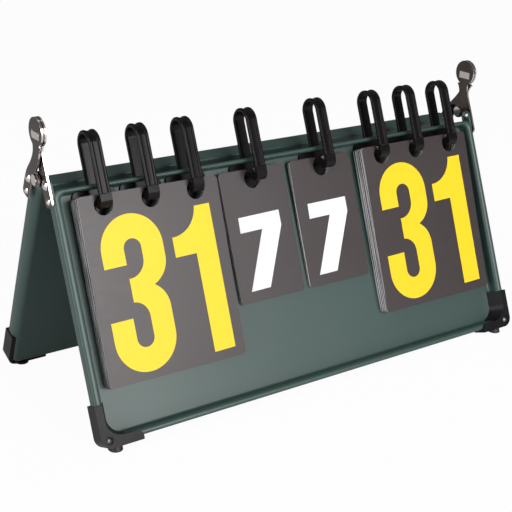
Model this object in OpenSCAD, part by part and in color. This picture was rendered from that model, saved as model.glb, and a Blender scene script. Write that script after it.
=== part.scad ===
// Tabletop flip scoreboard: two shallow trays hinged into a tent, with flip cards on eight ring loops.
// Origin: on the table under the middle of the board. +X runs to the right along the board,
// +Y runs away from the card side, +Z is up. Millimetres.
// Each tray has its own plane: x along the board, "off" inward from its outer face, "up" along its slope.

/* [Trays] */
// Width of each tray along the board
tray_w = 400; // [390:1:410]
// Height of each tray up its slope
tray_h = 181; // [180:0.5:183]
// Depth of each tray
tray_t = 12; // [11.5:0.25:13]
// Thickness of the tray's floor
floor_t = 2; // [1.5:0.25:2.5]
// Width of the rim down each side
side_rim = 6.5; // [6:0.5:7]
// Width of the rim along the top
top_rim = 3.5; // [3:0.5:4]
// Width of the rim along the bottom
bottom_rim = 5; // [5:0.5:7]

/* [Stance] */
// Lean of each tray from upright, in degrees
lean = 22.12; // [21.5:0.1:22.6]
// Distance between the two outer faces at the bottom edges
spread = 171.8; // [170:0.5:174]
// Height of the outer faces' bottom edges above the table
lift = 7.7; // [7.5:0.1:9]
// Height of the fold axis above the table
pivot_z = 179; // [178:0.5:180]

/* [Rings] */
// Distance of the small cards' rings from the middle
small_ring_x = 33.2; // [32:0.1:36]
// Distance of the big cards' middle rings from the middle
big_ring_x = 127.2; // [126:0.1:128]
// Pitch of the big cards' three rings
ring_pitch = 37.8; // [36:0.1:40]
// Width of a ring's strap
ring_w = 9.3; // [8.8:0.1:9.4]
// Inner radius of a ring's arch
ring_inner = 7.5; // [7.4:0.1:7.6]
// Thickness of a ring's strap
ring_t = 2.8; // [2.6:0.1:2.8]
// Height up the slope at which a ring's arch begins
arch_up = 208.7; // [200:0.1:212]

/* [Cards] */
// Number of cards in each big pack, the front card counted
big_count = 32; // [28:1:32]
// Number of cards in each small pack, the front card counted
small_count = 8; // [6:1:10]
// Thickness of one card
card_t = 0.26; // [0.22:0.01:0.27]
// Pitch of the cards at their top edges
top_pitch = 0.366; // [0.36:0.002:0.366]
// Pitch of the cards at their bottom edges
bottom_pitch = 0.28; // [0.28:0.005:0.3]
// Width of a big card
big_card_w = 114.3; // [112:0.1:115]
// Height of a big card
big_card_h = 135.9; // [130:0.1:137]
// Width of a small card
small_card_w = 60; // [56:0.5:62]
// Height of a small card
small_card_h = 101.1; // [96:0.1:104]
// Radius of a card's ring holes
hole_r = 7.5; // [7.3:0.1:7.7]
// Width of the neck that opens a ring hole to the card's top edge
neck_w = 7.8; // [7:0.1:8]

/* [Levers] */
// Thickness of a lever
lever_t = 1.5; // [1.2:0.1:1.5]
// Width of a lever's strip
lever_w = 10.4; // [10:0.1:10.8]
// Radius of a lever's finger head
head_r = 10.5; // [10.2:0.1:10.8]
// Height of the finger heads above the table
head_z = 214; // [213:0.1:216]

/* [Hidden] */
$fn = 48;

// Places in a tray's plane
half_w = tray_w / 2;
floor_off = tray_t - floor_t;
recess_top = tray_h - top_rim;
edge_r = 2;
back_r = 2;
side_back_r = 6;
corner_r = 6;
recess_corner_r = 5;
slope_w = 2;
slope_depth = 2.5;
ear_t = 2.5;
ear_low = tray_h - 14;
ear_high = tray_h + 9;
ear_off = [0.5, 9.5];
ear_corner_r = 4;

// A place given in y and z, in the front tray's plane
function plane_off(y, z) = (y + spread / 2) * cos(lean) - (z - lift) * sin(lean);
function plane_up(y, z) = (y + spread / 2) * sin(lean) + (z - lift) * cos(lean);
pivot_off = plane_off(0, pivot_z);
pivot_up = plane_up(0, pivot_z);

// Rings
ring_xs = [
    -big_ring_x - ring_pitch, -big_ring_x, -big_ring_x + ring_pitch, -small_ring_x,
    small_ring_x, big_ring_x - ring_pitch, big_ring_x, big_ring_x + ring_pitch
];
loop_off = -0.3;
ring_outer = ring_inner + ring_t;
seam_up = 172.3;
seam_gap = 0.25;
slot_fit = 0.3;
plate_t = 1.8;
plate_w = 34;
plate_bottom = 148;
plate_r = 4;
arm_bottom = 165;
arm_top = 169.2;
clasp_bottom = 162.5;
clasp_r = 6;
plate_rivet_x = 11;
plate_rivet_up = 154;

// Cards
top_back = 7.6;
big_bottom_back = 9.9;
small_bottom_back = 9.5;
card_top = 172.6;
hole_up = 164.8;
card_r = 3;
ink_t = 0.12;
left_turn = 0.5;
right_turn = 0.2;
big_holes = [-ring_pitch, 0, ring_pitch];
small_holes = [0];

// Corner guards and feet
guard_skin = 1.5;
guard_side = 1;
guard_sole = 2.5;
guard_depth = 11;
guard_up = 29;
guard_reach = 33;
guard_crest = 5.6;
guard_slope = 28;
guard_toe_up = 4.8;
guard_toe_r = 6;
guard_toe_rise = 0.6;
guard_inner_r = 12;
guard_outer_r = 8;
boss_x = half_w - 5;
boss_up = 3.4;
screw_head_r = 2.6;
foot_x = half_w - 12.5;
foot_off = 8;
foot_r = 5.3;

// Levers, rivets and spacers
rivet_off = 5;
big_rivet_up = tray_h + 4.3;
small_rivet_up = tray_h - 7;
rivet_r = 1.5;
rivet_fit = 0.05;
pivot_r = 3;
pivot_fit = 0.05;
pivot_ear_r = 5.5;
lever_bottom = tray_h - 11.5;
head_y = -4;
lever_gap = 0.8;
front_lever_x = half_w;
rear_lever_x = half_w + lever_t + lever_gap;
lever_end_x = rear_lever_x + lever_t;

// Frames
module front_side() {
    translate([0, -spread / 2, lift])
        rotate([-lean, 0, 0])
            children();
}

module rear_side() {
    rotate([0, 0, 180])
        front_side()
            children();
}

// Sends a child drawn for the right end to the left end when side is -1
module at_end(side) {
    if (side > 0) children();
    else mirror([1, 0, 0]) children();
}

// Extrudes a drawing made in x and up from one depth to another
module across(off_from, off_to) {
    translate([0, off_to, 0])
        rotate([90, 0, 0])
            linear_extrude(off_to - off_from)
                children();
}

// Extrudes a drawing made in off and up from one x to another
module along(x_from, x_to) {
    translate([x_from, 0, 0])
        rotate([90, 0, 90])
            linear_extrude(x_to - x_from)
                children();
}

module box_2d(low, high) {
    translate(low)
        square(high - low);
}

module round_box_2d(low, high, r) {
    box_2d([low.x + r, low.y], [high.x - r, high.y]);
    box_2d([low.x, low.y + r], [high.x, high.y - r]);
    for (x = [low.x + r, high.x - r], y = [low.y + r, high.y - r])
        translate([x, y])
            circle(r);
}

// A rod along x at a place in the tray's plane
module rod_x(x_from, x_to, off, up, r) {
    translate([x_from, off, up])
        rotate([0, 90, 0])
            cylinder(h = x_to - x_from, r = r);
}

// A rod along the tray's depth
module rod_off(x, off_from, off_to, up, r) {
    translate([x, off_to, up])
        rotate([90, 0, 0])
            cylinder(h = off_to - off_from, r = r);
}

// A low domed head of radius r and height h, standing on z = 0
module dome(r, h) {
    ball_r = (r * r + h * h) / (2 * h);
    intersection() {
        translate([0, 0, h - ball_r])
            sphere(ball_r);
        cylinder(h = h + 1, r = r);
    }
}

// A tray's rim across its depth: small rounds at the open side, rounds of radius r at the back
module depth_profile(low, high, r) {
    box_2d([0, low + edge_r], [tray_t - r, high - edge_r]);
    box_2d([edge_r, low], [tray_t - r, high]);
    box_2d([tray_t - r, low + r], [tray_t, high - r]);
    for (up = [low + edge_r, high - edge_r])
        translate([edge_r, up])
            circle(edge_r);
    intersection() {
        for (up = [low + r, high - r])
            translate([tray_t - r, up])
                circle(r);
        box_2d([tray_t - r, low], [tray_t, high]);
    }
}

module tray_blank() {
    intersection() {
        across(0, tray_t)
            round_box_2d([-half_w, 0], [half_w, tray_h], corner_r);
        along(-half_w, half_w)
            depth_profile(0, tray_h, back_r);
        linear_extrude(tray_h)
            rotate(90)
                mirror([0, 1])
                    depth_profile(-half_w, half_w, side_back_r);
    }
}

// The side rims' inner walls are cut back near the open side
module rim_slope() {
    wall_x = half_w - side_rim;
    translate([0, 0, bottom_rim + recess_corner_r])
        linear_extrude(recess_top - bottom_rim - 2 * recess_corner_r)
            polygon([
                [wall_x - 1, -1], [wall_x + slope_w, -1], [wall_x + slope_w, 0],
                [wall_x, slope_depth], [wall_x - 1, slope_depth]
            ]);
}

// A tab at each end of a tray's top edge, which the lever's upper rivet passes through
module tray_ear() {
    along(half_w - ear_t, half_w)
        round_box_2d([ear_off[0], ear_low], [ear_off[1], ear_high], ear_corner_r);
}

// A tray before its rivet and screw holes
module tray_shell() {
    difference() {
        union() {
            tray_blank();
            for (end = [-1, 1])
                at_end(end)
                    tray_ear();
        }
        across(-1, floor_off)
            round_box_2d([side_rim - half_w, bottom_rim], [half_w - side_rim, recess_top], recess_corner_r);
        for (end = [-1, 1])
            at_end(end)
                rim_slope();
    }
}

module tray() {
    wall_x = half_w - side_rim;
    difference() {
        tray_shell();
        for (end = [-1, 1]) {
            at_end(end) {
                for (up = [big_rivet_up, small_rivet_up])
                    rod_x(wall_x - 1, half_w + 1, rivet_off, up, rivet_r + rivet_fit);
                rod_off(boss_x, -1, tray_t + 1, boss_up, rivet_r + rivet_fit);
            }
        }
    }
}

// The slots in the top rim that the rings' rear legs pass through
module ring_slots() {
    slot_half = ring_w / 2 + slot_fit;
    for (x = ring_xs)
        across(loop_off + ring_inner - slot_fit, floor_off + slot_fit)
            box_2d([x - slot_half, recess_top - 1], [x + slot_half, tray_h + 1]);
}

module base_rivet_holes() {
    for (x = ring_xs, dx = [-plate_rivet_x, plate_rivet_x])
        rod_off(x + dx, floor_off - 1, tray_t + 1, plate_rivet_up, rivet_r + rivet_fit);
}

module front_panel() {
    color("darkslategray")
        front_side()
            difference() {
                tray();
                ring_slots();
                base_rivet_holes();
            }
}

module rear_panel() {
    color("darkslategray")
        rear_side()
            tray();
}

// Outline of the right-hand corner guard before its hollow is cut away, in x and up
module guard_outline() {
    edge_x = half_w + guard_side;
    toe_x = edge_x - guard_reach + guard_toe_r;
    box_2d([toe_x, -guard_sole], [edge_x - guard_outer_r, guard_up]);
    box_2d([edge_x - guard_outer_r - 1, guard_outer_r - guard_sole], [edge_x, guard_up]);
    intersection() {
        translate([edge_x - guard_outer_r, guard_outer_r - guard_sole])
            circle(guard_outer_r);
        box_2d([0, -guard_sole], [edge_x, guard_up]);
    }
    intersection() {
        translate([toe_x, guard_toe_up + guard_toe_rise - guard_toe_r])
            circle(guard_toe_r);
        box_2d([0, -guard_sole], [toe_x + 1, guard_up]);
    }
}

// The hollow of the tray as the guard leaves it: its side wall slopes inward with depth
module guard_hollow() {
    crest_x = half_w + guard_side - guard_crest;
    translate([crest_x, -guard_skin, 0])
        rotate([0, 0, guard_slope])
            across(-8, 2 * guard_depth)
                round_box_2d([-60, guard_toe_up], [0, 2 * guard_up], guard_inner_r);
}

module corner_guard() {
    difference() {
        across(-guard_skin, guard_depth)
            guard_outline();
        guard_hollow();
        tray_shell();
        across(floor_off, guard_depth + 1)
            box_2d([0, 0], [half_w - side_rim, guard_up + 1]);
        rod_off(boss_x, -guard_skin - 1, 1, boss_up, rivet_r + rivet_fit);
        rod_off(boss_x, -guard_skin - 1, -0.7, boss_up, screw_head_r + 0.6);
    }
}

// A foot reaches from the guard's sole to the table, where it is cut level
module foot() {
    intersection() {
        front_side()
            translate([foot_x, foot_off, -20])
                cylinder(h = 20 - guard_sole, r = foot_r);
        translate([0, -spread, 0])
            cube([tray_w, spread, 2 * lift]);
    }
}

module guard_screw() {
    rod_off(boss_x, -0.7, tray_t - 1, boss_up, rivet_r);
    translate([boss_x, -0.7, boss_up])
        rotate([90, 0, 0])
            dome(screw_head_r, 1);
}

// Middle lines of the levers' strips, as [up, off]: along the tray, then level with the fold axis
front_middle = [[150, 5], [194, 5], [202, 4.9], [208, 4], [216, 0.6], [224.3, -2.8]];
rear_middle = [[150, 5], [180, 5], [190, 6.2], [200, 9.6], [208, 11], [217, 8.9], [227.4, 4.6]];

// A smooth curve through such points
function knot_slope(knots, i) =
    let (low = knots[max(i - 1, 0)], high = knots[min(i + 1, len(knots) - 1)])
    (high[1] - low[1]) / (high[0] - low[0]);
function between_knots(knots, i, up) =
    let (
        span = knots[i + 1][0] - knots[i][0],
        s = (up - knots[i][0]) / span
    )
    (2 * pow(s, 3) - 3 * pow(s, 2) + 1) * knots[i][1]
    + (pow(s, 3) - 2 * pow(s, 2) + s) * span * knot_slope(knots, i)
    + (3 * pow(s, 2) - 2 * pow(s, 3)) * knots[i + 1][1]
    + (pow(s, 3) - pow(s, 2)) * span * knot_slope(knots, i + 1);
function on_knots(knots, up, i = 0) =
    i >= len(knots) - 2 || up < knots[i + 1][0] ? between_knots(knots, i, up) : on_knots(knots, up, i + 1);

// Half the width of a lever's strip, drawn in to a neck and swelling into the head
neck_half = 4.8;
neck_below = 14.4;
swell_below = 6.7;
swell = 3.2;
function strip_half(below) =
    below > neck_below
    ? neck_half + (lever_w / 2 - neck_half) * min(1, (below - neck_below) / 20)
    : neck_half + swell * pow((neck_below - below) / (neck_below - swell_below), 2);

module lever_outline(middle, y) {
    head_off = plane_off(y, head_z);
    head_up = plane_up(y, head_z);
    first = lever_bottom + 3;
    steps = 28;
    heights = [for (i = [0:steps]) first + i * (head_up - swell_below - first) / steps];
    polygon(concat(
        [for (up = heights) [on_knots(middle, up) - strip_half(head_up - up), up]],
        [for (i = [steps:-1:0]) [on_knots(middle, heights[i]) + strip_half(head_up - heights[i]), heights[i]]]
    ));
    round_box_2d([rivet_off - lever_w / 2, lever_bottom], [rivet_off + lever_w / 2, lever_bottom + 12], 3);
    translate([head_off, head_up])
        circle(head_r);
    translate([pivot_off, pivot_up])
        circle(pivot_ear_r);
    box_2d([rivet_off, pivot_up - pivot_ear_r], [pivot_off, pivot_up + pivot_ear_r]);
}

// The oblong boss pressed out of a finger head, level when the board stands open
module head_boss(x_from, x_to, y) {
    boss_half = 3.2;
    boss_r = 2.6;
    boss_z = head_z - 2.1;
    for (end = [-1, 1])
        translate([0, y + end * boss_half, 0])
            rod_x(x_from, x_to, 0, boss_z, boss_r);
    translate([x_from, y - boss_half, boss_z - boss_r])
        cube([x_to - x_from, 2 * boss_half, 2 * boss_r]);
}

// A lever drawn for the right end, in the front tray's frame, with its head at y
module lever(x, middle, y) {
    difference() {
        union() {
            front_side()
                along(x, x + lever_t)
                    lever_outline(middle, y);
            head_boss(x + lever_t - 0.2, x + lever_t + 0.5, y);
        }
        front_side() {
            for (up = [big_rivet_up, small_rivet_up])
                rod_x(x - 1, x + lever_t + 1, rivet_off, up, rivet_r + rivet_fit);
            rod_x(x - 1, x + lever_t + 1, pivot_off, pivot_up, pivot_r + pivot_fit);
        }
    }
}

module pivot_rivet() {
    flange_r = 4;
    translate([0, 0, pivot_z]) {
        rod_x(half_w - 1.2, lever_end_x + 1.2, 0, 0, pivot_r);
        rod_x(half_w - 1.2, half_w, 0, 0, flange_r);
        rod_x(half_w + lever_t, rear_lever_x - pivot_fit, 0, 0, flange_r);
        rod_x(lever_end_x + pivot_fit, lever_end_x + 1.2, 0, 0, flange_r);
    }
}

// A lever rivet for the right end: a shank and a domed head on the lever's outer face
module lever_rivet(x_from, x, up, head, height) {
    rod_x(x_from, x, rivet_off, up, rivet_r);
    translate([x, rivet_off, up])
        rotate([0, 90, 0])
            dome(head, height);
}

// The upper rivet has its tail on the ear's inner face, the lower one ends level with the rim's inner wall
module lever_rivet_pair(x) {
    ear_x = half_w - ear_t;
    wall_x = half_w - side_rim;
    lever_rivet(ear_x, x, big_rivet_up, 3.6, 1.9);
    lever_rivet(wall_x, x, small_rivet_up, 2.7, 1.5);
    translate([ear_x, rivet_off, big_rivet_up])
        rotate([0, -90, 0])
            dome(3.4, 1.4);
}

module lever_spacer(up) {
    difference() {
        rod_x(half_w, rear_lever_x, rivet_off, up, 2.7);
        rod_x(half_w - 1, rear_lever_x + 1, rivet_off, up, rivet_r + rivet_fit);
    }
}

// Section of a ring's strap: two ridges with a groove between them on the outer side
module strap_section(inner) {
    half = ring_w / 2;
    groove = ring_t - 0.7;
    polygon([
        [inner, -half], [inner + ring_t - 0.8, -half], [inner + ring_t, 0.6 - half],
        [inner + ring_t, 2 - half], [inner + groove, 2.8 - half], [inner + groove, half - 2.8],
        [inner + ring_t, half - 2], [inner + ring_t, half - 0.6], [inner + ring_t - 0.8, half],
        [inner, half]
    ]);
}

module ring_loop(i) {
    color("#2b272a")
        front_side()
            translate([ring_xs[i], loop_off, 0]) {
                for (leg = [[90, recess_top], [-90, seam_up + seam_gap]])
                    translate([0, 0, leg[1]])
                        rotate(leg[0])
                            linear_extrude(arch_up - leg[1])
                                strap_section(ring_inner);
                translate([0, 0, arch_up])
                    rotate([90, 0, 90])
                        rotate_extrude(angle = 180)
                            strap_section(ring_inner);
            }
}

// The clasp's hooked end and arm, drawn in off and up
module clasp_outline() {
    front = loop_off - ring_outer;
    inner = loop_off - ring_inner;
    box_2d([front, clasp_bottom + clasp_r], [inner, seam_up]);
    box_2d([inner, arm_bottom], [floor_off - plate_t, arm_top]);
    intersection() {
        translate([front + clasp_r, clasp_bottom + clasp_r])
            circle(clasp_r);
        box_2d([front, clasp_bottom], [front + clasp_r, clasp_bottom + clasp_r]);
    }
    intersection() {
        translate([front + clasp_r, clasp_bottom + 3])
            circle(3);
        box_2d([front + clasp_r - 0.1, clasp_bottom], [front + clasp_r + 3, arm_bottom + 0.5]);
    }
}

module ring_base(i) {
    color("#1f1c1e")
        front_side()
            translate([ring_xs[i], 0, 0])
                difference() {
                    union() {
                        along(-ring_w / 2, ring_w / 2)
                            clasp_outline();
                        across(floor_off - plate_t, floor_off)
                            round_box_2d([-plate_w / 2, plate_bottom], [plate_w / 2, recess_top], plate_r);
                    }
                    for (dx = [-plate_rivet_x, plate_rivet_x])
                        rod_off(dx, 0, tray_t, plate_rivet_up, rivet_r + rivet_fit);
                }
}

module ring_base_rivets() {
    color("dimgray")
        front_side()
            for (x = ring_xs, dx = [-plate_rivet_x, plate_rivet_x])
                translate([x + dx, 0, plate_rivet_up]) {
                    rod_off(0, floor_off - plate_t, tray_t, 0, rivet_r);
                    translate([0, tray_t, 0])
                        rotate([-90, 0, 0])
                            dome(2.5, 0.8);
                }
}

// One card's outline, with a keyhole at each ring
module card(w, h, holes) {
    difference() {
        round_box_2d([-w / 2, card_top - h], [w / 2, card_top], card_r);
        for (x = holes) {
            translate([x, hole_up])
                circle(hole_r);
            box_2d([x - neck_w / 2, hole_up], [x + neck_w / 2, card_top + 1]);
        }
    }
}

// Puts a child drawn flat, with its back at depth 0, at card number i counted from the back.
// The pack fans out towards its top, and the whole pack is turned a little on its rings.
module at_card(x, i, h, bottom_back, turn) {
    top = top_back - i * top_pitch;
    bottom = bottom_back - i * bottom_pitch;
    front_side()
        translate([x, top, card_top])
            rotate([atan((bottom - top) / h), 0, 0])
                rotate([0, turn, 0])
                    translate([0, 0, -card_top])
                        children();
}

module big_cards(x, first, last, turn) {
    for (i = [first:last])
        at_card(x, i, big_card_h, big_bottom_back, turn)
            across(-card_t, 0)
                card(big_card_w, big_card_h, big_holes);
}

module small_cards(x, first, last, turn) {
    for (i = [first:last])
        at_card(x, i, small_card_h, small_bottom_back, turn)
            across(-card_t, 0)
                card(small_card_w, small_card_h, small_holes);
}

// The figure three, drawn in x and up round a big card's middle line
module figure_three() {
    bowl_r = 24.7;
    counter_r = 7;
    upper = [-22.7, 132];
    lower = [-25.7, 67.7];
    upper_end = 121;
    lower_end = 83;
    bar_x = -29.7;
    bar = [94, 111];
    waist_r = 20;
    difference() {
        union() {
            translate(upper)
                circle(bowl_r);
            box_2d([upper.x - bowl_r, upper_end], [upper.x + bowl_r, upper.y]);
            translate([upper.x + bowl_r - waist_r, bar[0] + 28])
                circle(waist_r);
            translate(lower)
                circle(bowl_r);
            box_2d([lower.x - bowl_r, lower.y], [lower.x + bowl_r, lower_end + 3]);
            translate([lower.x + bowl_r - waist_r, bar[1] - 25])
                circle(waist_r);
            box_2d([bar_x, bar[0]], [-15, bar[1]]);
        }
        translate(upper)
            circle(counter_r);
        translate(lower)
            circle(counter_r);
        box_2d([upper.x - counter_r, bar[1] + 13], [upper.x + counter_r, upper.y]);
        box_2d([lower.x - counter_r, lower.y], [lower.x + counter_r, bar[0] - 12]);
        intersection() {
            translate([bar_x + 1, bar[1] + 13])
                circle(13);
            box_2d([upper.x - counter_r, bar[1]], [upper.x + counter_r, bar[1] + 13]);
        }
        intersection() {
            translate([lower.x + counter_r - 12, bar[0] - 12])
                circle(12);
            box_2d([lower.x - counter_r, bar[0] - 12], [lower.x + counter_r, bar[0]]);
        }
        box_2d([-60, lower_end], [bar_x, upper_end]);
    }
}

module figure_one() {
    difference() {
        union() {
            box_2d([28, 43.5], [45.9, 152.6]);
            box_2d([10.3, 118.2], [30, 152.6]);
        }
        translate([11, 155])
            circle(22);
    }
}

module figure_seven() {
    polygon([
        [-20, 137.3], [17.8, 137.3], [17.8, 125.4], [-2.7, 80],
        [-20.4, 80], [-0.3, 125.4], [-20.4, 125.4]
    ]);
}

// Turns a figure a little about the middle of its card, in x and up
module set_askew(angle, shift) {
    translate([shift.x, 100 + shift.y])
        rotate(angle)
            translate([0, -100])
                children();
}

module score_numeral(x, turn) {
    color("gold")
        at_card(x, big_count - 1, big_card_h, big_bottom_back, turn)
            across(-card_t - ink_t, -card_t)
                set_askew(1.2, [2, -0.4]) {
                    figure_three();
                    figure_one();
                }
}

module set_numeral(x, turn) {
    color("whitesmoke")
        at_card(x, small_count - 1, small_card_h, small_bottom_back, turn)
            across(-card_t - ink_t, -card_t)
                set_askew(0.7, [1.2, -0.1])
                    figure_seven();
}

module guard_at(rear, side) {
    color("#2e2e30") {
        if (rear) rear_side() at_end(side) corner_guard();
        else front_side() at_end(side) corner_guard();
    }
}

module foot_at(rear, side) {
    color("#1c1c1c")
        rotate([0, 0, rear ? 180 : 0])
            at_end(side)
                foot();
}

module lever_at(rear, side) {
    color("silver") {
        if (rear) rotate([0, 0, 180]) at_end(side) lever(rear_lever_x, rear_middle, -head_y);
        else at_end(side) lever(front_lever_x, front_middle, head_y);
    }
}

front_panel();
rear_panel();
guard_at(false, -1);  // front_left_corner_guard
guard_at(false, 1);  // front_right_corner_guard
guard_at(true, 1);  // rear_left_corner_guard
guard_at(true, -1);  // rear_right_corner_guard
foot_at(false, -1);  // front_left_foot
foot_at(false, 1);  // front_right_foot
foot_at(true, 1);  // rear_left_foot
foot_at(true, -1);  // rear_right_foot
color("gray") front_side() for (end = [-1, 1]) at_end(end) guard_screw();  // front_guard_screws
color("gray") rear_side() for (end = [-1, 1]) at_end(end) guard_screw();  // rear_guard_screws
lever_at(false, -1);  // front_left_lever
lever_at(false, 1);  // front_right_lever
lever_at(true, 1);  // rear_left_lever
lever_at(true, -1);  // rear_right_lever
color("lightgray") at_end(-1) pivot_rivet();  // left_pivot_rivet
color("lightgray") at_end(1) pivot_rivet();  // right_pivot_rivet
color("lightgray") front_side() for (end = [-1, 1]) at_end(end) lever_rivet_pair(half_w + lever_t);  // front_lever_rivets
color("lightgray") rear_side() for (end = [-1, 1]) at_end(end) lever_rivet_pair(lever_end_x);  // rear_lever_rivets
color("lightgray") rear_side()  // rear_lever_spacers
        for (end = [-1, 1], up = [big_rivet_up, small_rivet_up]) at_end(end) lever_spacer(up);
for (i = [0:7]) {
    ring_loop(i);
    ring_base(i);
}
ring_base_rivets();
color("#39363a") big_cards(-big_ring_x, 0, big_count - 2, left_turn);  // left_score_pack
color("#39363a") small_cards(-small_ring_x, 0, small_count - 2, -right_turn);  // left_set_pack
color("#39363a") small_cards(small_ring_x, 0, small_count - 2, right_turn);  // right_set_pack
color("#39363a") big_cards(big_ring_x, 0, big_count - 2, right_turn);  // right_score_pack
color("#3b383b") big_cards(-big_ring_x, big_count - 1, big_count - 1, left_turn);  // left_score_card
color("#3b383b") small_cards(-small_ring_x, small_count - 1, small_count - 1, -right_turn);  // left_set_card
color("#3b383b") small_cards(small_ring_x, small_count - 1, small_count - 1, right_turn);  // right_set_card
color("#3b383b") big_cards(big_ring_x, big_count - 1, big_count - 1, right_turn);  // right_score_card
score_numeral(-big_ring_x, left_turn);  // left_score_numeral
set_numeral(-small_ring_x, -right_turn);  // left_set_numeral
set_numeral(small_ring_x, right_turn);  // right_set_numeral
score_numeral(big_ring_x, right_turn);  // right_score_numeral
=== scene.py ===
# %% [markdown]
# # A tabletop flip scoreboard
# Two shallow green trays lean on each other like a tent. Number cards hang on eight black ring loops
# along the top of the front tray, and nickel finger levers lock the fold at both ends.
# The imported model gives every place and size. This lesson dresses it: rounded rims, ribbed straps,
# stacked card edges, painted metal, moulded plastic and bright plate.

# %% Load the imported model
import math
import random

import bmesh
import bpy
from mathutils import Matrix, Vector


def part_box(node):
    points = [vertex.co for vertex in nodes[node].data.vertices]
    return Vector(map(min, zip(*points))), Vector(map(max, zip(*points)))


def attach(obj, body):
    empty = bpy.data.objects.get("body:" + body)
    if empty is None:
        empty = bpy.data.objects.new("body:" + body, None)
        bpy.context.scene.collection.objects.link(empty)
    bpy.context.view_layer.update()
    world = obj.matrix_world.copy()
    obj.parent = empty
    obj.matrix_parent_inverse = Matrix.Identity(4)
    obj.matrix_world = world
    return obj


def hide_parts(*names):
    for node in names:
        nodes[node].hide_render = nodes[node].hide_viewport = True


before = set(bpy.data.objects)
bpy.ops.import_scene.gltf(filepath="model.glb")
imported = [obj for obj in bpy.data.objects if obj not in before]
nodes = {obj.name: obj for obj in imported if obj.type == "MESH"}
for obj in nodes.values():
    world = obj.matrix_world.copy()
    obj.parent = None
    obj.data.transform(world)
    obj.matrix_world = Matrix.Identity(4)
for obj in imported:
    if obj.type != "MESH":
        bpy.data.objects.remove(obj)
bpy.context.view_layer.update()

# %% [markdown]
# The trays lean, so most pieces are easier to make lying in a tray's own plane.
# There a point has three values: x along the board, off inward from the open face, and up the slope.
# One matrix carries that plane to its place, and the rear tray uses the same matrix turned half round.

# %% The trays' planes
MM = 0.001
LEAN = math.radians(22.12)
SPREAD = 171.8 * MM
LIFT = 7.7 * MM

front_plane = Matrix.Translation((0, -SPREAD / 2, LIFT)) @ Matrix.Rotation(-LEAN, 4, "X")
rear_plane = Matrix.Rotation(math.pi, 4, "Z") @ front_plane


def on_front(x, off, up):
    """A point of the front tray's plane, given in millimetres, as a place in metres."""
    return front_plane @ Vector((x * MM, off * MM, up * MM))


print("middle of the front top edge", [round(v, 4) for v in on_front(0, 0, 181)])

# %% [markdown]
# The photograph was taken from the front left and a little above, with a long lens.
# The camera's turn and tilt were solved from the board's straight edges, so the render overlays it.

# %% Camera
TURN = math.radians(35.2)
TILT = math.radians(21.26)
ROLL = math.radians(1.56)
LENS = 79.84
DISTANCE = 923.76 * MM
AIM = Vector((0, 0, 107 * MM))
AIM_RIGHT = -11.58 * MM
AIM_UP = -24.18 * MM

ahead = Vector((math.sin(TURN) * math.cos(TILT), math.cos(TURN) * math.cos(TILT), -math.sin(TILT)))
level = Vector((math.cos(TURN), -math.sin(TURN), 0))
upright = level.cross(ahead)
place = AIM - DISTANCE * ahead + AIM_RIGHT * level + AIM_UP * upright
side_axis = math.cos(ROLL) * level + math.sin(ROLL) * upright
up_axis = math.cos(ROLL) * upright - math.sin(ROLL) * level

camera_data = bpy.data.cameras.new("camera")
camera_data.lens = LENS
camera_data.sensor_width = 36
camera = bpy.data.objects.new("camera", camera_data)
bpy.context.scene.collection.objects.link(camera)
turn = Matrix((side_axis, up_axis, -ahead)).transposed()
camera.matrix_world = Matrix.Translation(place) @ turn.to_4x4()
bpy.context.scene.camera = camera
print("camera at", [round(v, 3) for v in place])

# %% [markdown]
# A finish is a small sum of patterns. This writer keeps such sums readable: a Signal stands for a
# socket, and adding or multiplying signals adds the Math nodes that do the same.

# %% Material writer


class Signal:
    """A number that varies over a surface, written as arithmetic."""

    def __init__(self, finish, socket):
        self.finish = finish
        self.socket = socket

    def _math(self, operation, a, b=None):
        values = {0: a} if b is None else {0: a, 1: b}
        return self.finish.node("ShaderNodeMath", {"operation": operation}, values)

    def __add__(self, other):
        return self._math("ADD", self, other)

    def __sub__(self, other):
        return self._math("SUBTRACT", self, other)

    def __rsub__(self, other):
        return self._math("SUBTRACT", other, self)

    def __mul__(self, other):
        return self._math("MULTIPLY", self, other)

    __radd__ = __add__
    __rmul__ = __mul__

    def clamp(self, low, high):
        return self._math("MINIMUM", self._math("MAXIMUM", self, low), high)

    def above(self, edge):
        return self._math("GREATER_THAN", self, edge)

    def below(self, edge):
        return self._math("LESS_THAN", self, edge)

    def size(self):
        return self._math("ABSOLUTE", self)


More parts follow.
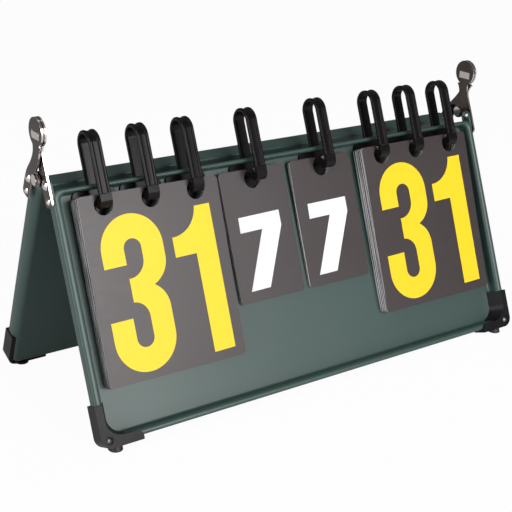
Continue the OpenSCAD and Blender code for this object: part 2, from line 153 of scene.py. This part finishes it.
class Finish:
    """One material with a Principled shader whose varying sockets take signals."""

    def __init__(self, name, **constants):
        self.material = bpy.data.materials.new(name)
        self.material.use_nodes = True
        self.tree = self.material.node_tree
        self.shader = self.tree.nodes["Principled BSDF"]
        for socket, value in constants.items():
            self.shader.inputs[socket.replace("_", " ")].default_value = value
        self.coordinates = self.tree.nodes.new("ShaderNodeTexCoord")

    def link(self, value, socket):
        if isinstance(value, Signal):
            self.tree.links.new(value.socket, socket)
        elif isinstance(value, (tuple, list)) and len(value) == 3 and socket.type == "RGBA":
            socket.default_value = (*value, 1)
        else:
            socket.default_value = value

    def node(self, kind, settings=None, values=None, out=0):
        made = self.tree.nodes.new(kind)
        for key, value in (settings or {}).items():
            setattr(made, key, value)
        for key, value in (values or {}).items():
            self.link(value, made.inputs[key])
        return Signal(self, made.outputs[out])

    def object_point(self):
        return Signal(self, self.coordinates.outputs["Object"])

    def parts(self, output):
        """The x, y and z of a texture coordinate output, as three signals."""
        split = self.tree.nodes.new("ShaderNodeSeparateXYZ")
        self.tree.links.new(self.coordinates.outputs[output], split.inputs[0])
        return [Signal(self, split.outputs[axis]) for axis in range(3)]

    def noise(self, scale, detail=2.0, stretch=(1, 1, 1), soften=0.5):
        where = self.node("ShaderNodeMapping", {}, {"Vector": self.object_point(), "Scale": stretch})
        return self.node("ShaderNodeTexNoise", {}, {
            "Vector": where, "Scale": scale, "Detail": detail, "Roughness": soften})

    def mix(self, amount, first, second):
        return self.node("ShaderNodeMix", {"data_type": "RGBA"}, {0: amount, 6: first, 7: second}, out=2)

    def put(self, socket, value):
        self.link(value, self.shader.inputs[socket])

    def bump(self, height, depth, strength=1.0):
        normal = self.node("ShaderNodeBump", {}, {"Height": height, "Distance": depth, "Strength": strength})
        self.put("Normal", normal)


# %% [markdown]
# The trays are sprayed a dark bottle green. The paint is satin, with a very fine orange peel and faint
# cloudiness, so the softbox in front spreads over it in a broad gradient.

# %% Painted tray
PAINT_DARK = (0.031, 0.061, 0.054)
PAINT_LIGHT = (0.044, 0.080, 0.071)
PAINT_ROUGHNESS = 0.38
ORANGE_PEEL = 0.00004

paint = Finish("tray_paint")
cloud = paint.noise(9, detail=3)
speck = paint.noise(900, detail=2)
tone = (cloud - 0.5) * 0.5 + (speck - 0.5) * 0.35 + 0.5
paint.put("Base Color", paint.mix(tone.clamp(0, 1), PAINT_DARK, PAINT_LIGHT))
paint.put("Roughness", (cloud - 0.5) * 0.1 + (speck - 0.5) * 0.08 + PAINT_ROUGHNESS)
paint.bump(paint.noise(1400, detail=2), ORANGE_PEEL, strength=0.35)
print("paint nodes", len(paint.tree.nodes))

# %% [markdown]
# Three blacks share the board: glossy straps for the rings, duller guards, and rubber feet.
# They differ in roughness and in the grain of the mould, and the straps have a trace of brown.

# %% Moulded plastics and rubber


def moulded(name, dark, light, roughness, grain, depth, coat=0.0, sheen=0.5):
    """A moulded black: two near shades, an uneven gloss and the grain of the mould."""
    made = Finish(name, Coat_Weight=coat, Coat_Roughness=0.1, Specular_IOR_Level=sheen)
    drift = made.noise(60, detail=3)
    fine = made.noise(grain, detail=3)
    made.put("Base Color", made.mix((drift * 0.6 + fine * 0.4).clamp(0, 1), dark, light))
    made.put("Roughness", (drift - 0.5) * 0.22 + (fine - 0.5) * 0.12 + roughness)
    made.bump(fine, depth, strength=0.4)
    return made


strap_black = moulded(
    "ring_strap", (0.004, 0.003, 0.0035), (0.008, 0.006, 0.007), 0.3, 700, 0.000004, coat=0.12, sheen=0.1)
guard_black = moulded(
    "corner_guard", (0.006, 0.006, 0.007), (0.013, 0.012, 0.014), 0.32, 1100, 0.00004, sheen=0.14)
foot_rubber = moulded(
    "foot_rubber", (0.010, 0.010, 0.010), (0.020, 0.020, 0.020), 0.5, 1600, 0.00008, sheen=0.4)
print("plastics", [m.material.name for m in (strap_black, guard_black, foot_rubber)])

# %% [markdown]
# Nickel plate is warm and bright, and fine polishing lines run along each lever. On the levers' flat sides
# the colour is darkened with a painted dark reflection, while their rounded edges and the pressed boss keep
# the bright plate.

# %% Nickel plate and screws
BOSS_Y = -4 * MM
BOSS_Z = 211.9 * MM
BOSS_HALF_Z = 2.8 * MM
BOSS_HALF_Y = 6 * MM
LOOKS_ALONG_X = 0.96


def plated(name, dark, light, roughness, stretch, painted_dark_reflection=None):
    """Plate with polishing lines; an optional last pair of shades is a painted dark reflection, mixed into
    faces that look along x except on the boss.
    """
    made = Finish(name, Metallic=1.0)
    film = made.noise(45, detail=3)
    lines = made.noise(500, detail=2, stretch=stretch)
    mottle = (film * 0.7 + lines * 0.3).clamp(0, 1)
    colour = made.mix(mottle, dark, light)
    # Faces that look along x, away from the boss, get a painted dark reflection mixed into their colour.
    if painted_dark_reflection:
        where = made.parts("Object")
        flat = made.parts("Normal")[0].size().above(LOOKS_ALONG_X)
        on_boss = (where[1] - BOSS_Y).size().below(BOSS_HALF_Y)
        on_boss = on_boss * (where[2] - BOSS_Z).size().below(BOSS_HALF_Z)
        colour = made.mix(flat * (1 - on_boss), colour, made.mix(mottle, *painted_dark_reflection))
    made.put("Base Color", colour)
    made.put("Roughness", (film - 0.5) * 0.16 + (lines - 0.5) * 0.1 + roughness)
    made.bump(lines, 0.00002, strength=0.3)
    return made


NICKEL = ((0.62, 0.57, 0.55), (0.86, 0.82, 0.80))
# The two shades of the painted dark reflection on the levers' flat sides.
PAINTED_REFLECTION_SHADES = ((0.045, 0.036, 0.033), (0.15, 0.125, 0.115))
UPRIGHT_LINES = (1, 1, 0.15)
nickel = plated("nickel_plate", *NICKEL, 0.16, UPRIGHT_LINES)
lever_plate = plated("lever_plate", *NICKEL, 0.2, UPRIGHT_LINES, PAINTED_REFLECTION_SHADES)
screw_steel = plated("screw_steel", (0.10, 0.10, 0.10), (0.20, 0.20, 0.21), 0.35, (1, 1, 1))
print("metals", nickel.material.name, lever_plate.material.name, screw_steel.material.name)

# %% [markdown]
# The cards are punched from black plastic sheet. Their faces have a satin sheen with a fine drawn
# grain, while the cut edges are coloured pale grey to near white, so a thick pack shows grey stripes on its
# side.

# %% Card sheet
CARD_DARK = (0.031, 0.0225, 0.0235)
CARD_LIGHT = (0.046, 0.034, 0.0355)
EDGE_DARK = (0.10, 0.10, 0.11)
EDGE_LIGHT = (0.95, 0.94, 0.95)
STRIPES_PER_M = 1000
LOOKS_OUT = 0.6
CARD_ROUGHNESS = 0.38

card_sheet = Finish("card_sheet")
grain = card_sheet.noise(700, detail=3, stretch=(0.25, 1, 1))
haze = card_sheet.noise(14, detail=3)
face_tone = card_sheet.mix((grain * 0.6 + haze * 0.4).clamp(0, 1), CARD_DARK, CARD_LIGHT)


def across_sheet(parts):
    """The part of a direction or place that runs through the cards' thickness."""
    return parts[1] * math.cos(LEAN) - parts[2] * math.sin(LEAN)


stripe = card_sheet.node("ShaderNodeTexNoise", {"noise_dimensions": "1D"}, {
    "W": across_sheet(card_sheet.parts("Object")) * STRIPES_PER_M, "Scale": 1.0, "Detail": 1.0})
edge_tone = card_sheet.mix(((stripe - 0.5) * 4 + 0.62).clamp(0, 1), EDGE_DARK, EDGE_LIGHT)
on_face = across_sheet(card_sheet.parts("Normal")).size().above(LOOKS_OUT)
card_sheet.put("Base Color", card_sheet.mix(on_face, edge_tone, face_tone))
card_sheet.put("Roughness", (haze - 0.5) * 0.1 + (grain - 0.5) * 0.14 + CARD_ROUGHNESS)
card_sheet.bump(grain, 0.00003, strength=0.3)

INK_ROUGHNESS = 0.42


def printed(name, dark, light):
    """Screen-printed ink: an even colour with a faint mottle and the sheet's sheen."""
    made = Finish(name, Specular_IOR_Level=0.3)
    mottle = made.noise(500, detail=3)
    made.put("Base Color", made.mix(mottle, dark, light))
    made.put("Roughness", (mottle - 0.5) * 0.12 + INK_ROUGHNESS)
    made.bump(mottle, 0.00002, strength=0.25)
    return made


score_ink = printed("score_yellow", (0.88, 0.58, 0.010), (0.97, 0.66, 0.018))
set_ink = printed("set_white", (0.80, 0.76, 0.80), (0.88, 0.85, 0.89))
print("sheet and inks", card_sheet.material.name, score_ink.material.name, set_ink.material.name)

# %% [markdown]
# Many solids of the model have the right shape but razor edges. Real moulded and pressed edges catch
# a thin line of light. A dressed copy merges the solid's triangles into faces and rounds its edges
# with a narrow bevel, and it stands for the node in the picture.

# %% Helpers for pieces


def shade(piece, material, sharp=35):
    """Smooth shading that stays flat on the large faces."""
    piece.data.materials.clear()
    piece.data.materials.append(material.material)
    piece.data.polygons.foreach_set("use_smooth", [True] * len(piece.data.polygons))
    piece.data.set_sharp_from_angle(angle=math.radians(sharp))
    weigh = piece.modifiers.new("even normals", "WEIGHTED_NORMAL")
    weigh.keep_sharp = True


def add_piece(name, bm, body, material, replaces=(), sharp=35, bevel=0.0, segments=2):
    """Turns a bmesh into a piece that rides on a body and stands for some nodes.

    Edges sharper than the angle sharp are bevelled, or stay crisp where there is no bevel.
    """
    mesh = bpy.data.meshes.new(name)
    bm.to_mesh(mesh)
    bm.free()
    piece = bpy.data.objects.new(name, mesh)
    bpy.context.scene.collection.objects.link(piece)
    if bevel:
        edge = piece.modifiers.new("soft edges", "BEVEL")
        edge.width = bevel
        edge.segments = segments
        edge.limit_method = "ANGLE"
        edge.angle_limit = math.radians(sharp)
        edge.harden_normals = False
    shade(piece, material, sharp if not bevel else 60)
    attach(piece, body)
    if replaces:
        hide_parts(*replaces)
    return piece


def merged(node):
    """A bmesh of a node's solid with its triangles joined into whole faces."""
    bm = bmesh.new()
    bm.from_mesh(nodes[node].data)
    bmesh.ops.remove_doubles(bm, verts=bm.verts, dist=0.000002)
    bmesh.ops.dissolve_limit(
        bm, angle_limit=math.radians(1), verts=bm.verts, edges=bm.edges, use_dissolve_boundaries=False)
    return bm


def dress(node, body, material, bevel, segments=2):
    """A copy of a node's solid with softened edges."""
    return add_piece(
        node + "_dressed", merged(node), body, material, (node,), bevel=bevel, segments=segments)


def finish_node(node, material):
    """A node whose solid is right keeps its shape and gets its finish."""
    slots = nodes[node].data.materials
    slots.clear()
    slots.append(material.material)


# %% [markdown]
# Each tray is one pressed shape: a flat field with a rim turned forward all round, every fold rounded.
# It is built as a stack of rounded rectangles. Each has its own depth and its own inset from the tray's
# outline, so the stack runs over the back edge, up the side, over the crest of the rim and down into
# the field. The side rims are the broadest, the top rim is the narrowest.
# A tab above each top corner, at the end of the tray, carries the upper rivet of a lever.

# %% Trays
TRAY_W = 400
TRAY_H = 181
TRAY_T = 12
FIELD_OFF = 10
SIDE_RIM = 6.5
TOP_RIM = 3.5
BOTTOM_RIM = 5
CORNER_R = 6
SIDE_BACK_R = 6
BACK_R = 2
CREST_OUTER = 2.6
CREST_INNER = 3
FIELD_FILLET = 2.5
EDGE_FILLET = 1.5
CORNER_STEPS = 6
EAR_T = 2.5
EAR_OFF = (0.5, 9.5)
EAR_LOW = 175
EAR_HIGH = 190
EAR_STEPS = 12
CLEAR = 0.03


def arc_steps(count):
    """The angles that divide a quarter turn into equal steps."""
    return [math.pi / 2 * i / count for i in range(count + 1)]


def rim_steps():
    """Insets at the sides, top and bottom, the corner radius and the depth of each outline."""
    steps = []
    for a in arc_steps(10):
        off = TRAY_T - SIDE_BACK_R * (1 - math.cos(a))
        side = SIDE_BACK_R * (1 - math.sin(a))
        rise = max(0, off - (TRAY_T - BACK_R))
        edge = BACK_R - math.sqrt(BACK_R ** 2 - rise ** 2)
        steps.append((side, edge, edge, CORNER_R - edge, off))
    across = [(0, CREST_OUTER)]
    across += [(CREST_OUTER * (1 - math.cos(a)), CREST_OUTER * (1 - math.sin(a))) for a in arc_steps(6)[1:]]
    across += [
        (SIDE_RIM - CREST_INNER * (1 - math.sin(a)), CREST_INNER * (1 - math.cos(a))) for a in arc_steps(6)]
    for inset, off in across:
        share = inset / SIDE_RIM
        steps.append((inset, TOP_RIM * share, BOTTOM_RIM * share, CORNER_R - share, off))
    for a in arc_steps(6):
        inset = FIELD_FILLET * (1 - math.cos(a))
        edge = EDGE_FILLET * (1 - math.cos(a))
        off = FIELD_OFF - FIELD_FILLET * (1 - math.sin(a))
        steps.append((SIDE_RIM + inset, TOP_RIM + edge, BOTTOM_RIM + edge, CORNER_R - 1 - inset, off))
    return steps


def outline(side, top, bottom, radius):
    """A rounded rectangle as points in x and up, anticlockwise from the lower left corner."""
    x = TRAY_W / 2 - side - radius
    low = bottom + radius
    high = TRAY_H - top - radius
    points = []
    for corner, (cx, cz) in enumerate(((-x, low), (x, low), (x, high), (-x, high))):
        for a in arc_steps(CORNER_STEPS):
            turn_by = a + math.pi * (1 + corner / 2)
            points.append((cx + radius * math.cos(turn_by), cz + radius * math.sin(turn_by)))
    return points


def build_tray(name, plane, body, node):
    bm = bmesh.new()
    rings = []
    for side, top, bottom, radius, off in rim_steps():
        rings.append([
            bm.verts.new((x * MM, off * MM, z * MM)) for x, z in outline(side, top, bottom, radius)])
    for outer, inner in zip(rings, rings[1:]):
        for i in range(len(outer)):
            j = (i + 1) % len(outer)
            bm.faces.new((outer[i], outer[j], inner[j], inner[i]))
    bm.faces.new(rings[0])
    bm.faces.new(rings[-1])
    bmesh.ops.transform(bm, matrix=plane, verts=bm.verts)
    bmesh.ops.recalc_face_normals(bm, faces=bm.faces)
    return add_piece(name, bm, body, paint, (node,), sharp=50)


def build_ears(name, plane, body):
    """The two tabs above a tray's top corners that carry the levers' upper rivets."""
    bm = bmesh.new()
    x_low = (TRAY_W / 2 - EAR_T) * MM
    x_high = (TRAY_W / 2 - CLEAR) * MM
    middle_off = (EAR_OFF[0] + EAR_OFF[1]) / 2
    reach = (EAR_OFF[1] - EAR_OFF[0]) / 2
    turns = [math.pi * i / EAR_STEPS for i in range(EAR_STEPS + 1)]
    profile = [(EAR_OFF[1], EAR_LOW)]
    profile += [(middle_off + reach * math.cos(a), EAR_HIGH - reach * (1 - math.sin(a))) for a in turns]
    profile += [(EAR_OFF[0], EAR_LOW)]
    for end in (-1, 1):
        face = bm.faces.new([bm.verts.new((end * x_low, off * MM, up * MM)) for off, up in profile])
        pushed = bmesh.ops.extrude_face_region(bm, geom=[face], use_keep_orig=True)
        moved = [g for g in pushed["geom"] if isinstance(g, bmesh.types.BMVert)]
        bmesh.ops.translate(bm, vec=(end * (x_high - x_low), 0, 0), verts=moved)
    bmesh.ops.transform(bm, matrix=plane, verts=bm.verts)
    bmesh.ops.recalc_face_normals(bm, faces=bm.faces)
    return add_piece(name, bm, body, paint, sharp=50, bevel=0.5 * MM)


front_tray = build_tray("front_tray", front_plane, "front_frame", "front_panel")
rear_tray = build_tray("rear_tray", rear_plane, "rear_frame", "rear_panel")
build_ears("front_ears", front_plane, "front_frame")
build_ears("rear_ears", rear_plane, "rear_frame")
print("tray faces", len(front_tray.data.polygons))

# %% [markdown]
# A ring is a plastic strap bent into a tall loop. Its outer side has two ridges with a groove between
# them. The strap's section is drawn once, pushed up the rear leg, spun over the arch and pushed down
# the front leg, where the clasp takes over.

# %% Ring straps
RING_XS = [sum(c.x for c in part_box(f"ring_loop_{i + 1}")) / 2 / MM for i in range(8)]
STRAP_W = 9.3
STRAP_T = 2.8
STRAP_INNER = 7.5
LOOP_OFF = -0.3
REAR_FOOT = 177.5
ARCH_UP = 208.7
SEAM_UP = 172.55
ARCH_STEPS = 20
RIDGE_EDGE = 0.7
RIDGE_END = 2.0
GROOVE_EDGE = 2.9
GROOVE_DEPTH = 0.75


def strap_section(bm):
    """The strap's section at the foot of the rear leg, as one face facing down."""
    half = STRAP_W / 2
    groove_t = STRAP_T - GROOVE_DEPTH
    steps = [
        (-half, 0.35), (-half + 0.5, 0), (half - 0.5, 0), (half, 0.35), (half, STRAP_T - RIDGE_EDGE),
        (half - RIDGE_EDGE, STRAP_T), (half - RIDGE_END, STRAP_T), (half - GROOVE_EDGE, groove_t),
        (-half + GROOVE_EDGE, groove_t), (-half + RIDGE_END, STRAP_T), (-half + RIDGE_EDGE, STRAP_T),
        (-half, STRAP_T - RIDGE_EDGE)]
    verts = [bm.verts.new((x * MM, (LOOP_OFF + STRAP_INNER + r) * MM, REAR_FOOT * MM)) for x, r in steps]
    return bm.faces.new(verts)


def strap_mesh():
    """One loop's strap in the tray's plane, in the middle of the board."""
    bm = bmesh.new()
    start = strap_section(bm)
    rise = bmesh.ops.extrude_face_region(bm, geom=[start], use_keep_orig=True)
    top = [g for g in rise["geom"] if isinstance(g, bmesh.types.BMVert)]
    bmesh.ops.translate(bm, vec=(0, 0, (ARCH_UP - REAR_FOOT) * MM), verts=top)
    head = [g for g in rise["geom"] if isinstance(g, bmesh.types.BMFace)]
    arch = bmesh.ops.spin(
        bm, geom=head, cent=(0, LOOP_OFF * MM, ARCH_UP * MM), axis=(1, 0, 0), angle=math.pi,
        steps=ARCH_STEPS, use_merge=False, use_duplicate=False)
    last = [g for g in arch["geom_last"] if isinstance(g, bmesh.types.BMFace)]
    fall = bmesh.ops.extrude_face_region(bm, geom=last)
    low = [g for g in fall["geom"] if isinstance(g, bmesh.types.BMVert)]
    bmesh.ops.translate(bm, vec=(0, 0, -(ARCH_UP - SEAM_UP) * MM), verts=low)
    bmesh.ops.delete(bm, geom=[f for f in head + last if f.is_valid], context="FACES_ONLY")
    bmesh.ops.remove_doubles(bm, verts=bm.verts, dist=0.00001)
    bmesh.ops.recalc_face_normals(bm, faces=bm.faces)
    return bm


for number, ring_x in enumerate(RING_XS, start=1):
    strap = strap_mesh()
    bmesh.ops.translate(strap, vec=(ring_x * MM, 0, 0), verts=strap.verts)
    bmesh.ops.transform(strap, matrix=front_plane, verts=strap.verts)
    add_piece(
        f"ring_strap_{number}", strap, "front_frame", strap_black,
        (f"ring_loop_{number}",), sharp=30, bevel=0.22 * MM)
print("rings at", [round(x, 1) for x in RING_XS])

# %% [markdown]
# The rings' clasps, the corner guards, the feet and the levers keep the model's shape.
# Only their edges change, by the radius that moulding or pressing leaves on each.

# %% Dressed small parts
for number in range(1, 9):
    dress(f"ring_base_{number}", "front_frame", strap_black, 0.6 * MM, segments=3)

for end in ("front", "rear"):
    for hand in ("left", "right"):
        body = end + "_frame"
        dress(f"{end}_{hand}_corner_guard", body, guard_black, 0.9 * MM, segments=3)
        dress(f"{end}_{hand}_foot", body, foot_rubber, 0.4 * MM)
        dress(f"{end}_{hand}_lever", body, lever_plate, 0.4 * MM, segments=3)
    finish_node(end + "_lever_rivets", nickel)
    finish_node(end + "_guard_screws", screw_steel)
for node in ("left_pivot_rivet", "right_pivot_rivet", "rear_lever_spacers"):
    finish_node(node, nickel)
finish_node("ring_base_rivets", screw_steel)

# %% [markdown]
# A used pack is never square. Every card behind the front one slips a little along the rings,
# so the pack's side shows uneven stripes. Each card of the pack is moved by a small seeded amount.

# %% Cards
SLIP_X = 0.45
SLIP_UP = 0.4


def loose_pack(node, seed):
    """A pack whose cards, found as the separate parts of its mesh, each slip a little."""
    chance = random.Random(seed)
    bm = merged(node)
    seen = set()
    for first in bm.verts:
        if first in seen:
            continue
        card = []
        to_visit = [first]
        while to_visit:
            v = to_visit.pop()
            if v not in seen:
                seen.add(v)
                card.append(v)
                to_visit.extend(e.other_vert(v) for e in v.link_edges)
        slip = front_plane.to_3x3() @ Vector((
            chance.uniform(-SLIP_X, SLIP_X) * MM, 0, chance.uniform(-SLIP_UP, 0) * MM))
        bmesh.ops.translate(bm, vec=slip, verts=card)
    return add_piece(node + "_loose", bm, "front_frame", card_sheet, (node,))


for seed, place_name in enumerate(("left_score", "left_set", "right_set", "right_score")):
    loose_pack(place_name + "_pack", seed)
    finish_node(place_name + "_card", card_sheet)
    finish_node(place_name + "_numeral", score_ink if "score" in place_name else set_ink)
print("packs done")

# %% [markdown]
# A white tent surrounds the board: a broad softbox in front puts the sheen on the cards, one above
# picks out the rims and arches, and one at the left lights the tray's side. The floor shows white to
# the camera and keeps a faint shadow under the feet.

# %% Floor, light and world


def stage_finish(name, shadow):
    """A white that the camera sees as paper, mixed with a lit surface that takes the shadow."""
    made = Finish(name, Roughness=0.9, Base_Color=(0.9, 0.9, 0.9, 1))
    glow = made.node("ShaderNodeEmission", {}, {"Color": (1.0, 1.0, 1.0, 1.0), "Strength": 1.0})
    seen = made.node("ShaderNodeMath", {"operation": "MULTIPLY"}, {
        0: made.node("ShaderNodeLightPath", out=0), 1: 1 - shadow})
    blend = made.node("ShaderNodeMixShader", {}, {
        0: seen, 1: Signal(made, made.shader.outputs[0]), 2: glow})
    output = made.tree.nodes["Material Output"]
    made.tree.links.new(blend.socket, output.inputs["Surface"])
    return made


FLOOR_HALF = 4
FLOOR_SHADOW = 0.04

floor_bm = bmesh.new()
bmesh.ops.create_grid(floor_bm, x_segments=1, y_segments=1, size=FLOOR_HALF)
floor_mesh = bpy.data.meshes.new("floor")
floor_bm.to_mesh(floor_mesh)
floor_bm.free()
floor = bpy.data.objects.new("floor", floor_mesh)
bpy.context.scene.collection.objects.link(floor)
floor.data.materials.append(stage_finish("floor_white", FLOOR_SHADOW).material)


def softbox(name, spot, aim, width, height, watts):
    """A rectangular lamp at a place, turned towards its aim."""
    data = bpy.data.lights.new(name, "AREA")
    data.shape = "RECTANGLE"
    data.size = width
    data.size_y = height
    data.energy = watts
    lamp = bpy.data.objects.new(name, data)
    bpy.context.scene.collection.objects.link(lamp)
    lamp.location = spot
    lamp.rotation_euler = (Vector(aim) - Vector(spot)).to_track_quat("-Z", "Y").to_euler()
    return lamp


MIDDLE = (0, 0, 0.1)
AIR_LIGHT = 0.15
softbox("front_box", (0.33, -2.0, 0.75), MIDDLE, 1.2, 1.1, 36)
softbox("top_box", (-0.3, 0.2, 2.2), MIDDLE, 2.0, 1.6, 8)
softbox("left_box", (-2.2, -0.6, 0.9), MIDDLE, 1.2, 1.6, 32)

world = bpy.data.worlds.new("white tent")
bpy.context.scene.world = world
world.use_nodes = True
air = world.node_tree
path = air.nodes.new("ShaderNodeLightPath")
level_node = air.nodes.new("ShaderNodeMapRange")
level_node.inputs["To Min"].default_value = AIR_LIGHT
level_node.inputs["To Max"].default_value = 1.0
air.links.new(path.outputs["Is Camera Ray"], level_node.inputs["Value"])
air.links.new(level_node.outputs[0], air.nodes["Background"].inputs["Strength"])
air.nodes["Background"].inputs["Color"].default_value = (1, 1, 1, 1)
bpy.context.scene.view_settings.view_transform = "Standard"
